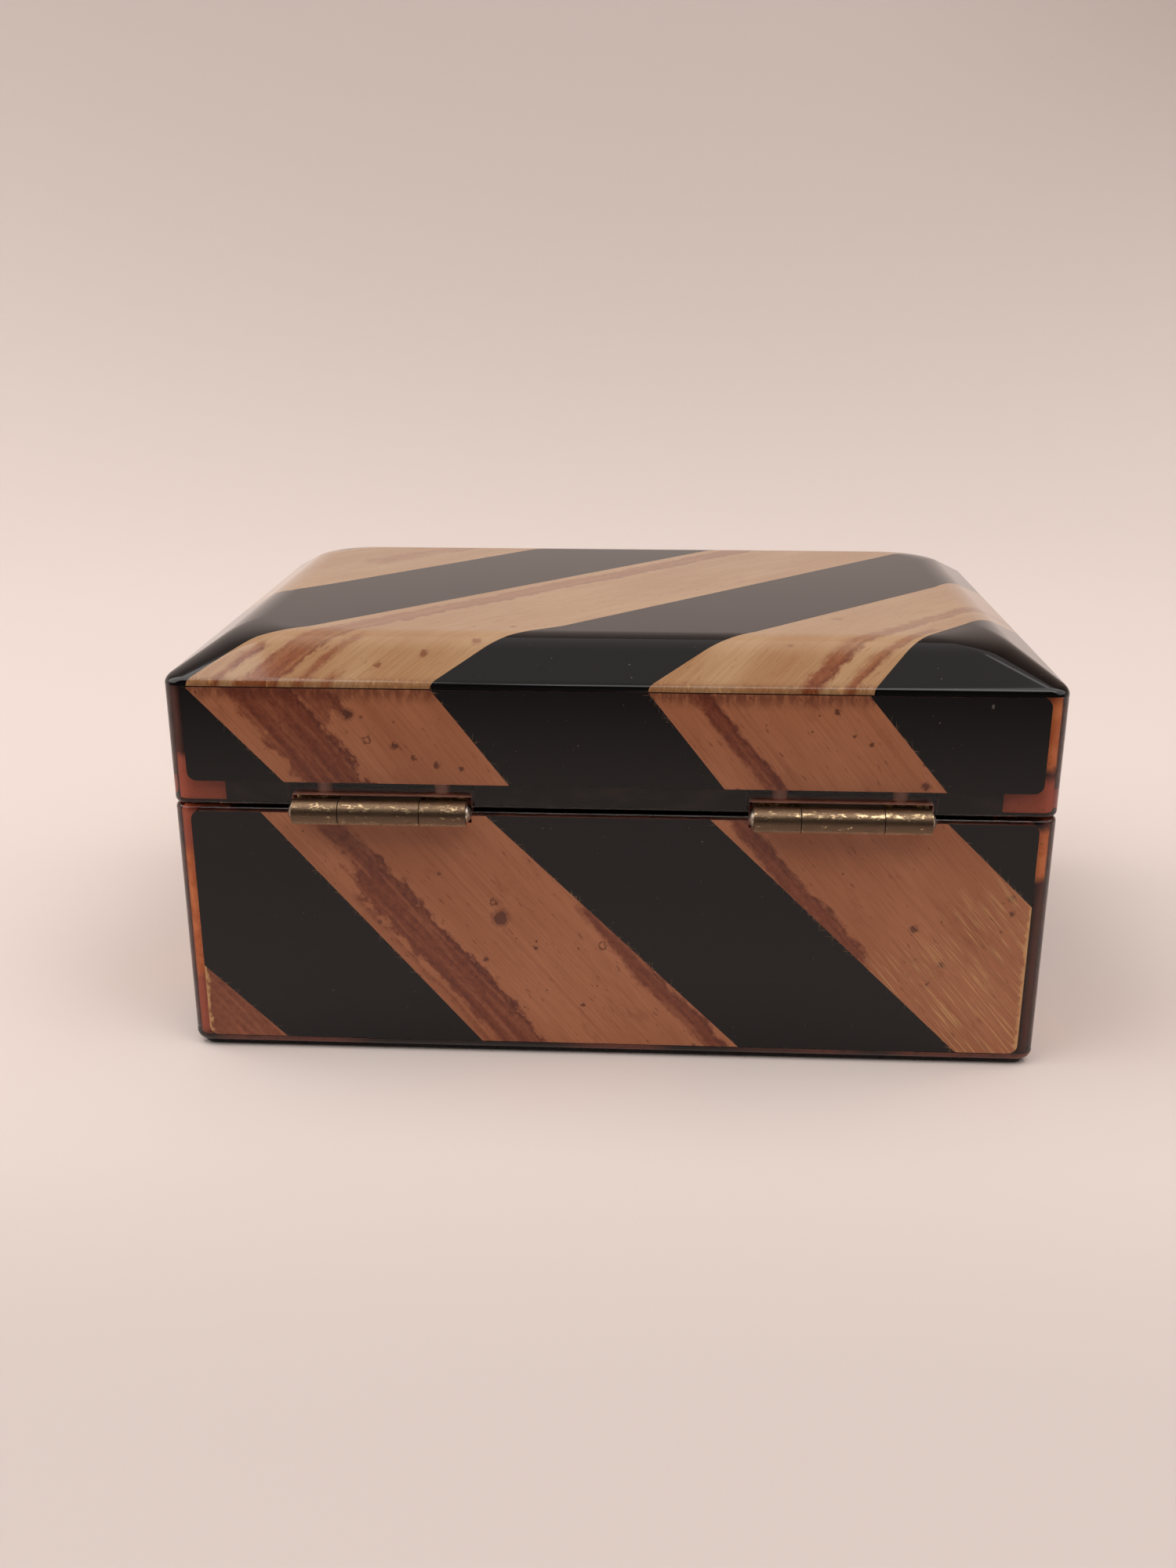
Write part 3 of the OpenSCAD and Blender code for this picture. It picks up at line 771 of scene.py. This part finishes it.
def amber_corners(body, low_z, high_z, hollow_z, material):
    """Four columns behind the sheets, from one height to another, clear of the hollow's linings."""
    inset = coat_t + sheet_t + bond
    radius = corner_r - inset
    outer = [side_ring(inset, low_z, radius), side_ring(inset, high_z, radius)]
    columns = loft(f"{body}_amber_corners", outer)
    margin = 3 * bond
    clear_x, past_x = half_w - amber_w, half_w + overrun
    clear_y, past_y = half_d - amber_w, half_d + overrun
    bottom, top = low_z - overrun, high_z + overrun
    cutters = [
        block("across", (-clear_x, -past_y, bottom), (clear_x, past_y, top)),
        block("deep", (-past_x, -clear_y, bottom), (past_x, clear_y, top)),
    ]
    reach_x, reach_y = lining_high.x + margin, lining_high.y + margin
    hollow = [ring(reach_x, reach_y, hollow_corner_r, z) for z in (hollow_z, top)]
    cutters.append(loft("hollow", hollow))
    for cutter in cutters:
        combine(columns, cutter, "DIFFERENCE")
    drop(*cutters)
    smooth(columns)
    dress(columns, material)
    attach(columns, body)


# Heights in millimetres between which each corner gets its painted orange glow, by whether it is on the +X
# and the +Y side, and those between which it gets painted red-brown light where it doesn't glow
base_painted_glow = {
    (True, True): (14, 38), (False, True): (36, 44.5),
    (True, False): (6, 46), (False, False): (10, 46),
}
base_painted_red_light = {(True, True): (-5, 47), (True, False): (-5, 15), (False, False): (-5, 15)}
lid_painted_glow = {(False, True): (55.5, 69), (True, False): (48, 69), (False, False): (48, 69)}
lid_painted_red_light = {corner: (40, 54) for corner in base_painted_glow}
lid_painted_red_light[(True, True)] = (40, 56)
# How far the amber ends short of the castings' rims and of their other ends
rim_stop = 0.7 * MM
end_stop = 1.2 * MM
base_amber = amber_material("amber_base_painted_glow", base_painted_glow, base_painted_red_light)
lid_amber = amber_material("amber_lid_painted_glow", lid_painted_glow, lid_painted_red_light)
amber_corners("base", base_low.z + end_stop, base_high.z - rim_stop, lining_low.z - bond, base_amber)
amber_corners("lid", lid_low.z + rim_stop, edge_z - end_stop, lid_low.z - overrun, lid_amber)

# What marks each face of bark: stains as (across, half width, from, to, strength) and spots as
# (across, along, radius), in millimetres across and along the fibres

base_rear_marks = {
    "stains": [
        (-8.4, 2.2, -70, -44, 0.9),
        (-9.9, 3.6, -56, -6, 1.0),
        (-14.6, 0.35, -52, -10, 0.8),
        (16.2, 1.9, -26, 14, 0.95),
        (46.6, 1.7, -26, 14, 0.95),
        (-49, 7, -62, -34, 0.8),
    ],
    "spots": [
        (2.8, -33, 1.3), (3.9, -36, -0.55), (13.4, -17.6, -0.7), (3.9, -24.7, 0.35), (4.8, -25.5, 0.2),
        (9.6, -19.7, 0.2), (-4.4, -28.5, 0.4), (3.1, -10.8, 0.25), (57.5, 14.1, 0.6), (57.2, 22.6, 0.5),
        (53.3, 24.1, 0.25), (74, 19.8, 0.6), (72.4, 22.2, 0.5),
    ],
    "glinting_ridges": (8, 24),
}
lid_rear_marks = {
    "stains": [
        (-4.6, 4.9, -105, -58, 1.0),
        (2.6, 2.6, -95, -78, 0.8),
        (54, 1.6, -48, -22, 1.0),
    ],
    "spots": [
        (4.8, -77.8, 0.8), (4.4, -72.3, -0.6), (7.5, -68.7, 0.55), (8.8, -65.1, 0.4), (11.1, -61.6, 0.45),
        (13.9, -58.6, 0.35), (70.3, -28, 0.45), (70.1, -22.9, 0.3), (74.5, -8.4, 0.6), (71.5, -20, 0.3),
    ],
    "glinting_ridges": NOWHERE,
}
top_marks = {
    "stains": [
        (-8.2, 2.6, -95, 70, 1.0),
        (-13.8, 0.9, -95, -74, 1.0),
        (-3.2, 0.7, -88, -60, 0.9),
        (60, 1.5, -35, 60, 1.0),
        (65, 0.9, -35, 12, 0.9),
        (-54, 3, -20, 30, 0.6),
        (0.5, 0.8, -86, -68, 0.8),
    ],
    "spots": [
        (12, -39, 0.5), (8, -56, 0.6), (12.5, -48, 0.7), (7, -44, 0.3), (11.1, 6, 0.35), (48.2, 6.4, 0.8),
        (4, -63, 0.5), (52, -12, 0.4),
    ],
    "glinting_ridges": NOWHERE,
}


def islands(shape):
    """The vertices of each separate strip in a mesh."""
    seen, found = set(), []
    for start in shape.verts:
        if start.index in seen:
            continue
        seen.add(start.index)
        island, queue = [], [start]
        while queue:
            vert = queue.pop()
            island.append(vert.co.copy())
            for edge in vert.link_edges:
                other = edge.other_vert(vert)
                if other.index not in seen:
                    seen.add(other.index)
                    queue.append(other)
        found.append(island)
    return found


def welded(obj):
    """The object's mesh with its seams closed, to be read."""
    shape = bmesh.new()
    shape.from_mesh(obj.data)
    bmesh.ops.remove_doubles(shape, verts=shape.verts, dist=0.001 * MM)
    shape.verts.index_update()
    return shape


def guessed_marks(obj, along, across, seed):
    """Marks for a face that the photograph doesn't show, like those that it does."""
    rng = Random(seed)
    shape = welded(obj)
    stains, spots = [], []
    for island in islands(shape):
        c = [p.dot(across) / MM for p in island]
        a = [p.dot(along) / MM for p in island]
        width = max(c) - min(c)
        length = max(a) - min(a)
        edge = min(c) if rng.random() < 0.6 else max(c)
        inward = 1 if edge == min(c) else -1
        half = width * rng.uniform(0.06, 0.12)
        middle = edge + inward * (half + width * rng.uniform(0.0, 0.12))
        begin = min(a) + length * rng.uniform(-0.1, 0.2)
        stains.append((middle, half, begin, begin + length * rng.uniform(0.5, 0.9), 1.0))
        for _ in range(3):
            radius = rng.choice((0.3, 0.45, 0.8, -0.6))
            spots.append((rng.uniform(min(c), max(c)), rng.uniform(min(a), max(a)), radius))
    shape.free()
    return {"stains": stains, "spots": spots, "glinting_ridges": (rng.uniform(10, 25), 40)}


# The sheet under the lid's dome, cut into bark and black strips

# Outlines of the bark strips from above, as shares of the box's width and depth from its middle
top_strip_shares = [
    [(0.471, 0.5), (0.404, 0.408), (0.352, 0.364), (0.203, 0.134), (-0.096, -0.336), (-0.116, -0.367),
     (-0.236, -0.5), (-0.55, -0.55), (-0.396, -0.367), (-0.339, -0.279), (0.060, 0.341),
     (0.117, 0.398), (0.199, 0.5)],
    [(-0.041, 0.5), (-0.124, 0.408), (-0.161, 0.367), (-0.407, -0.015), (-0.55, -0.333),
     (-0.55, 0.018), (-0.407, 0.291), (-0.358, 0.372), (-0.286, 0.5)],
    [(0.55, -0.005), (0.420, 0.073), (0.377, 0.013), (0.136, -0.367), (0.016, -0.5), (0.282, -0.5),
     (0.396, -0.367), (0.407, -0.351), (0.55, -0.39)],
]


def above_seam(rings):
    """The rings above the seam at the lid's edge, and one on it."""
    kept = [r for r in rings if r[0][2] > seam_z]
    below = rings[len(rings) - len(kept) - 1]
    return [[(x, y, seam_z) for x, y, _ in below]] + kept


def top_shell():
    """The sheet bent over the dome with its clear coat, down to the seam along the lid's edge."""
    outer = above_seam(dome_rings(face_depth))
    inner = above_seam(dome_rings(coat_t + sheet_t))
    return loft("top_sheet", inner[::-1] + outer)


def strip_prism(outline):
    """An upright prism over one strip of the lid's top."""
    low, high = edge_z - overrun, lid_high.z + overrun
    count = len(outline)
    points = [(x * 2 * half_w, y * 2 * half_d, z) for z in (low, high) for x, y in outline]
    faces = [list(range(count)), list(range(count, 2 * count))[::-1]]
    for i in range(count):
        k = (i + 1) % count
        faces.append([i, count + i, count + k, k])
    return mesh_object("strip", points, faces)


def top_sheets():
    """The bent sheet as two pieces: its bark strips, and the black ones between them."""
    bark = top_shell()
    bark.name = "lid_top_bark_sheet"
    dark = top_shell()
    dark.name = "lid_top_black_sheet"
    prisms = [strip_prism(outline) for outline in top_strip_shares]
    strips = prisms[0]
    for prism in prisms[1:]:
        combine(strips, prism, "UNION")
    combine(bark, strips, "INTERSECT")
    combine(dark, strips, "DIFFERENCE")
    drop(*prisms)
    for obj in (bark, dark):
        smooth(obj, 40)
        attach(obj, "lid")
    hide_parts("lid_top_bark")
    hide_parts("lid_top_black")
    return bark, dark


black = black_material("black_sheet")
top_bark, top_black = top_sheets()
top_along = Vector((-0.677, -0.736, 0)).normalized()
top_across = Vector((-0.736, 0.677, 0)).normalized()
top_marks["fringe"] = (edge_z / MM + 1.1, edge_z / MM + 0.1, 0.35, 0.4)
top_marks["end"] = ((1, 0, 0), NOWHERE[0])
dress(top_bark, bark_material("bark_top", top_along, top_across, top_marks, TOP_BARK_PAINTED_LIGHT))
dress(top_black, black)

# The flat sheets on the sides

BASE_LEAN = math.radians(40.2)
LID_LEAN = math.radians(38.3)
seen_marks = {"base_rear": base_rear_marks, "lid_rear": lid_rear_marks}
lid_sheet_top = lid_sheet_high.z / MM
scratched = black_material("black_sheet_lid_rear", [((-63.2, half_d / MM, 66.9), (0.3, 1.0, 0.5))])
cut_edge = edge_material()


def dress_flush(piece, outward, material):
    """Gives a piece that lies flush in a side its material, and its cut edges the look of resin."""
    dress(piece, material)
    piece.data.materials.append(cut_edge)
    for face in piece.data.polygons:
        face.material_index = 0 if abs(face.normal.dot(outward)) > 0.5 else 1


def coated_sheet(node_name, outward, material):
    """A side's sheet with the clear coat over it, as one piece from the sheet's back to the box's face."""
    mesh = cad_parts[node_name].data
    front = max(v.co.dot(outward) for v in mesh.vertices)
    lift = outward * (coat_t - face_depth)
    touch = 0.01 * MM
    points = [v.co + lift if v.co.dot(outward) > front - touch else v.co for v in mesh.vertices]
    piece = mesh_object(f"{node_name}_sheet", points, [list(p.vertices) for p in mesh.polygons])
    dress_flush(piece, outward, material)
    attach(piece, node_name.split("_")[0])
    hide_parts(node_name)
    return piece


def band_spans(side, half):
    """Where a side's dark rim band runs, between the milky corners and clear of the hinges."""
    stops = [-(half - amber_w)]
    if side == "rear":
        room = 1.2 * MM
        leaves = sorted(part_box(f"{name}_hinge_lid_leaf")[0].x for name in ("left", "right"))
        leaf_low, leaf_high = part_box("left_hinge_lid_leaf")
        for start in leaves:
            stops += [start - room, start + leaf_high.x - leaf_low.x + room]
    stops.append(half - amber_w)
    return list(zip(stops[::2], stops[1::2]))


def rim_band(name, turn, span, reach, outward, material):
    """One flush strip of the dark band above the lid's rim, where the lining shows through the resin."""
    low = (span[0], -(reach - face_depth), lid_low.z + rim_edge_r)
    high = (span[1], -(reach - coat_t - sheet_t), lid_sheet_low.z - bond)
    piece = block(name, low, high)
    piece.data.transform(turn.to_4x4())
    dress_flush(piece, outward, material)
    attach(piece, "lid")


def loose_fibres(sheet, outward, along, seed):
    """Torn fibres that stand off the cut edges of a bark sheet, in clumps."""
    rng = Random(seed)
    shape = welded(sheet)
    shape.normal_update()
    paths = []
    for edge in shape.edges:
        facing = [face for face in edge.link_faces if face.normal.dot(outward) > 0.9]
        start, stop = edge.verts[0].co, edge.verts[1].co
        run = stop - start
        if len(facing) != 1 or abs(run.z) < 6 * MM or run.xy.length < 3 * MM:
            continue
        away = (start + stop) / 2 - facing[0].calc_center_median()
        away = (away - run * (away.dot(run) / run.length_squared)).normalized()
        clumps = [rng.random() for _ in range(3)]
        for _ in range(int(run.length / MM)):
            t = min(max(rng.gauss(rng.choice(clumps), 0.12), 0.02), 0.98)
            lean = rng.uniform(0.15, 0.9)
            heading = (away * lean + along * rng.choice((-1, 1)) * rng.uniform(0.4, 1.0)).normalized()
            reach = rng.uniform(0.4, 1.5) * MM
            point = start + run * t + outward * fibre_r
            path = [point]
            for _ in range(3):
                heading = (heading + away * rng.uniform(-0.3, 0.3)).normalized()
                point = point + heading * reach / 3
                path.append(point)
            paths.append(path)
    shape.free()
    return paths


fibre = fibre_material("bark_fibre", (0.10, 0.055, 0.035), (0.40, 0.24, 0.14))
smoky = smoky_material()


def dress_side(index, side):
    """One side's bark and black sheets, its loose fibres and the dark band above the lid's rim."""
    turn = Matrix.Rotation(index * math.pi / 2, 3, "Z")
    right = turn @ Vector((1, 0, 0))
    outward = turn @ Vector((0, -1, 0))
    up = Vector((0, 0, 1))
    half, reach = (half_w, half_d) if index % 2 == 0 else (half_d, half_w)
    for body, lean in (("base", BASE_LEAN), ("lid", LID_LEAN)):
        face = f"{body}_{side}"
        slant = -1 if (body == "base" and side in ("right", "left")) else 1
        along = (right * math.sin(lean) * slant - up * math.cos(lean)).normalized()
        across = (right * math.cos(lean) * slant + up * math.sin(lean)).normalized()
        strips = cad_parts[f"{face}_bark"]
        marks = seen_marks.get(face) or guessed_marks(strips, along, across, 3 * index + len(body))
        if body == "lid":
            marks["fringe"] = (lid_sheet_top - 3.0, lid_sheet_top - 0.4, 0.65, 0.0)
        else:
            marks["fringe"] = (*NOWHERE, 0.0, 0.0)
        marks["end"] = (tuple(abs(v) for v in right), (half - sheet_side_gap) / MM)
        bark = bark_material(f"bark_{face}", along, across, marks, SIDE_BARK)
        sheet = coated_sheet(f"{face}_bark", outward, bark)
        dark = scratched if face == "lid_rear" else black
        coated_sheet(f"{face}_black", outward, dark)
        hairs = strands(f"{face}_bark_fibres", loose_fibres(sheet, outward, along, index + 10), fibre_r)
        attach(hairs, body)
        dress(hairs, fibre)
    for count, span in enumerate(band_spans(side, half)):
        rim_band(f"lid_{side}_band_{count}", turn, span, reach, outward, smoky)


for index, side in enumerate(SIDES):
    dress_side(index, side)

# The rounded foot


def foot_edge():
    """The brown painted reflection all round the foot's rounded edge, as a thin tray flush with the base's
    face.
    """
    centre = (foot_edge_r, base_low.z - bond + foot_edge_r)
    outer_r = foot_edge_r - face_depth
    inner_r = outer_r - 0.3 * MM
    outer = [side_ring(t, z, corner_r - t) for t, z, _ in arc(centre, outer_r, 0, -75)]
    inner = [side_ring(t, z, corner_r - t) for t, z, _ in arc(centre, inner_r, -75, 0)]
    return loft("base_foot_edge", inner + outer)


foot = foot_edge()
smooth(foot, 50)
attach(foot, "base")
dress(foot, foot_material())

# The felt under the base


def edge_points(reach_x, reach_y, spacing):
    """Places round a rectangle's edge, each with the way out from it."""
    found = []
    for axis, across, other in ((0, reach_x, reach_y), (1, reach_y, reach_x)):
        count = int(2 * across / spacing)
        for sign in (-1, 1):
            for i in range(count + 1):
                place, out = [0.0, 0.0], [0.0, 0.0]
                place[axis] = across * (2 * i / count - 1)
                place[1 - axis] = sign * other
                out[1 - axis] = sign
                found.append((place, out))
    return found


def felt_sheet():
    """The felt, with a slightly wavy cut edge."""
    rng = Random(5)
    thick = felt_high.z - felt_low.z
    rings = []
    for share, inset in ((0.0, 0.25), (0.3, 0.05), (0.75, 0.1), (1.0, 0.2)):
        level = []
        for x, y, z in ring(felt_high.x - inset * MM, felt_high.y - inset * MM, 1.8 * MM, felt_low.z, 24):
            shrink = 1 - rng.uniform(0, 0.0012)
            level.append((x * shrink, y * shrink, z + share * thick))
        rings.append(level)
    return loft("felt_sheet", rings)


def felt_hairs():
    """Single fibres that stick out from the felt's cut edge."""
    rng = Random(8)
    paths = []
    for place, out in edge_points(felt_high.x - 0.4 * MM, felt_high.y - 0.4 * MM, 1.1 * MM):
        outward = Vector((out[0], out[1], 0))
        sideways = Vector((-out[1], out[0], 0)) * rng.uniform(-1.2, 1.2)
        heading = (outward + sideways).normalized()
        height = rng.uniform(0.15, 0.7) * MM
        point = Vector((place[0], place[1], felt_low.z + height))
        path = [point]
        reach = rng.uniform(0.5, 1.3) * MM
        for _ in range(3):
            heading = (heading + Vector((0, 0, rng.uniform(-0.25, 0.1)))).normalized()
            point = point + heading * reach / 3
            point.z = max(point.z, felt_low.z + 0.05 * MM)
            path.append(point.copy())
        paths.append(path)
    return strands("felt_fibres", paths, 0.03 * MM)


felt = felt_sheet()
smooth(felt, 50)
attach(felt, "base")
dress(felt, felt_material())
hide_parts("felt_pad")
hairs = felt_hairs()
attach(hairs, "base")
dress(hairs, fibre_material("felt_fibre", (0.006, 0.006, 0.006), (0.03, 0.028, 0.028)))

# Linings and brass

lining = lining_material()
brass = brass_material("brass", (0.185, 0.122, 0.075), (0.80, 0.60, 0.35), 0.59)
bright_brass = brass_material("bright_brass", (0.60, 0.48, 0.38), (0.85, 0.74, 0.62), 0.50)
for name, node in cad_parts.items():
    if name.endswith("_lining"):
        dress(node, lining)
    elif name.endswith("_leaf"):
        dress(node, brass)
    elif name.endswith(("_pin", "_screws")):
        dress(node, bright_brass)

# Camera, as the photograph was taken

camera_data = bpy.data.cameras.new("camera")
camera = link(camera_data, "camera")
bpy.context.scene.camera = camera
camera_data.sensor_width = 36
camera_data.lens = 34.3
look = Vector((0.0478, -0.9436, -0.3275))
camera.location = Vector((-0.00845, 0.29252, 0.13552))
camera.rotation_euler = look.to_track_quat("-Z", "Y").to_euler()

# Studio: a round pale cove, a wide lamp on each side, a weak one behind the camera and a pale world


def cove():
    """A round floor that curves up into a wall all the way round."""
    floor_r, bend_r, wall_h, sides = 0.5, 1.2, 2.0, 96
    outline = [(0.02, 0.0), (0.25, 0.0), (floor_r, 0.0)]
    for i in range(1, 25):
        a = math.pi / 2 * i / 24
        outline.append((floor_r + bend_r * math.sin(a), bend_r * (1 - math.cos(a))))
    outline.append((floor_r + bend_r, wall_h))
    points = []
    for r, z in outline:
        for i in range(sides):
            a = 2 * math.pi * i / sides
            points.append((r * math.cos(a), r * math.sin(a), z))
    faces = [list(range(sides))]
    for k in range(len(outline) - 1):
        for i in range(sides):
            j = (i + 1) % sides
            faces.append([k * sides + i, k * sides + j, (k + 1) * sides + j, (k + 1) * sides + i])
    obj = mesh_object("cove", points, faces)
    for face in obj.data.polygons:
        face.use_smooth = True
    return obj


def cove_material():
    """Matt pale paper with painted shade: a little darker towards the camera, far off, and high up on the
    -X side.
    For all rays but the camera's own it also has a painted shadow, nearly black towards the camera's
    place, which the box's rear mirrors."""
    n = Nodes("pale_floor")
    x, y, z = n.split(n.place())
    painted_side_shade = n.times(n.step(x, -100, -1100), n.step(z, 0, 500))
    shade = n.mix(painted_side_shade, (0.70, 0.615, 0.575), (0.32, 0.24, 0.20))
    # Painted shade: darker towards the camera and far behind the box
    off = n.most(n.step(y, 40, 150, 0.0, 0.2), n.step(y, -300, -1300, 0.0, 0.15))
    shade = n.mix(off, shade, (0.0, 0.0, 0.0))
    # Painted shadow near the camera's place, for all rays but the camera's own
    unseen = n.minus(1.0, n.add("ShaderNodeLightPath").outputs["Is Camera Ray"])
    shade = n.mix(n.times(unseen, n.step(y, 150, 360, 0.0, 0.88)), shade, (0.0, 0.0, 0.0))
    n.feed(n.shader, {"Base Color": shade, "Roughness": 0.9})
    return n.material


cove().data.materials.append(cove_material())


def area_lamp(name, place, target, width, depth, power, tint):
    """A soft rectangular lamp that faces its target."""
    lamp = bpy.data.lights.new(name, "AREA")
    lamp.shape = "RECTANGLE"
    lamp.size = width
    lamp.size_y = depth
    lamp.energy = power
    lamp.color = tint
    obj = link(lamp, name)
    obj.location = place
    obj.rotation_euler = (Vector(target) - Vector(place)).to_track_quat("-Z", "Y").to_euler()


lamp_tint = (1.0, 0.97, 0.95)
area_lamp("left_lamp", (1.0, 0.22, 1.15), (0, 0, 0.03), 1.6, 1.6, 19.5, lamp_tint)
area_lamp("right_lamp", (-1.0, 0.22, 1.15), (0, 0, 0.03), 1.6, 1.6, 13.5, lamp_tint)
area_lamp("edge_lamp", (-0.30, 0.70, 1.15), (0, 0, 0.07), 1.0, 0.35, 2.6, lamp_tint)

world = bpy.data.worlds.new("studio")
bpy.context.scene.world = world
world.use_nodes = True
background = world.node_tree.nodes["Background"]
background.inputs[0].default_value = (0.92, 0.84, 0.80, 1.0)
background.inputs[1].default_value = 0.78

bpy.context.scene.view_settings.view_transform = "Standard"
